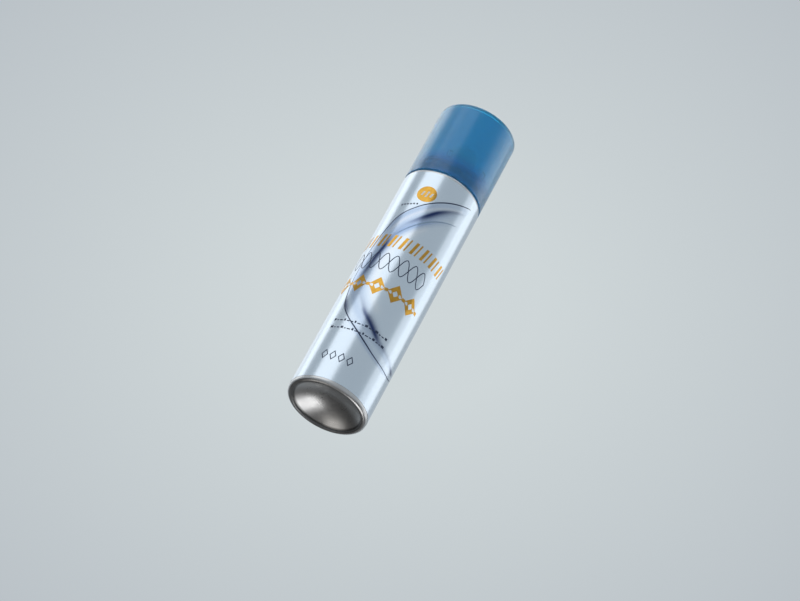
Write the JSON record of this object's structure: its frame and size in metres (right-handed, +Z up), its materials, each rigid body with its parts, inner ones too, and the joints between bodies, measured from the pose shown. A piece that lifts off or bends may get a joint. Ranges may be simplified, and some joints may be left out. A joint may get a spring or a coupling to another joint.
{
  "type": "aerosol spray can",
  "caption": "Slim pocket aerosol can in bare and printed aluminium with a concave base, push-down spray valve and a translucent blue pull-off cap.",
  "frame": {"origin": "centre of the foot ring that the can stands on", "axes": "+Z up the can's axis towards the cap, -Y towards the label's front and the nozzle"},
  "size_m": [0.035, 0.035, 0.156],
  "materials": {
    "bare_aluminium": "satin",
    "printed_film": "metallic silver-blue film with soft blue bands and gold ornaments",
    "cup_metal": "satin lacquered",
    "gasket_rubber": "matte",
    "white_plastic": "matte",
    "spring_steel": "drawn wire",
    "tube_plastic": "translucent",
    "button_plastic": "satin white",
    "insert_plastic": "natural white",
    "cap_plastic": "glossy translucent"
  },
  "bodies": {
    "can": {"can_body": "bare_aluminium", "label_sleeve": "printed_film", "mounting_cup": "cup_metal", "cup_gasket": "gasket_rubber", "stem_gasket": "gasket_rubber", "valve_housing": "white_plastic", "valve_spring": "spring_steel", "dip_tube": "tube_plastic"},
    "stem": {"valve_stem": "white_plastic"},
    "button": {"spray_button": "button_plastic", "nozzle_insert": "insert_plastic"},
    "cap": {"overcap": "cap_plastic"}
  },
  "joints": [
    {"name": "cap_pull", "type": "slide", "parent": "can", "child": "cap", "axis": [0, 0, 1], "range_m": [0, 0.05]},
    {"name": "valve_press", "type": "slide", "parent": "can", "child": "stem", "axis": [0, 0, -1], "range_m": [0, 0.0013], "stiffness_N_per_m": 3000, "springref_m": -0.0025, "deforming": ["valve_spring"]},
    {"name": "button_turn", "type": "hinge", "parent": "stem", "child": "button", "pos_m": [0, 0, 0.1303], "axis": [0, 0, 1], "continuous": true}
  ]
}
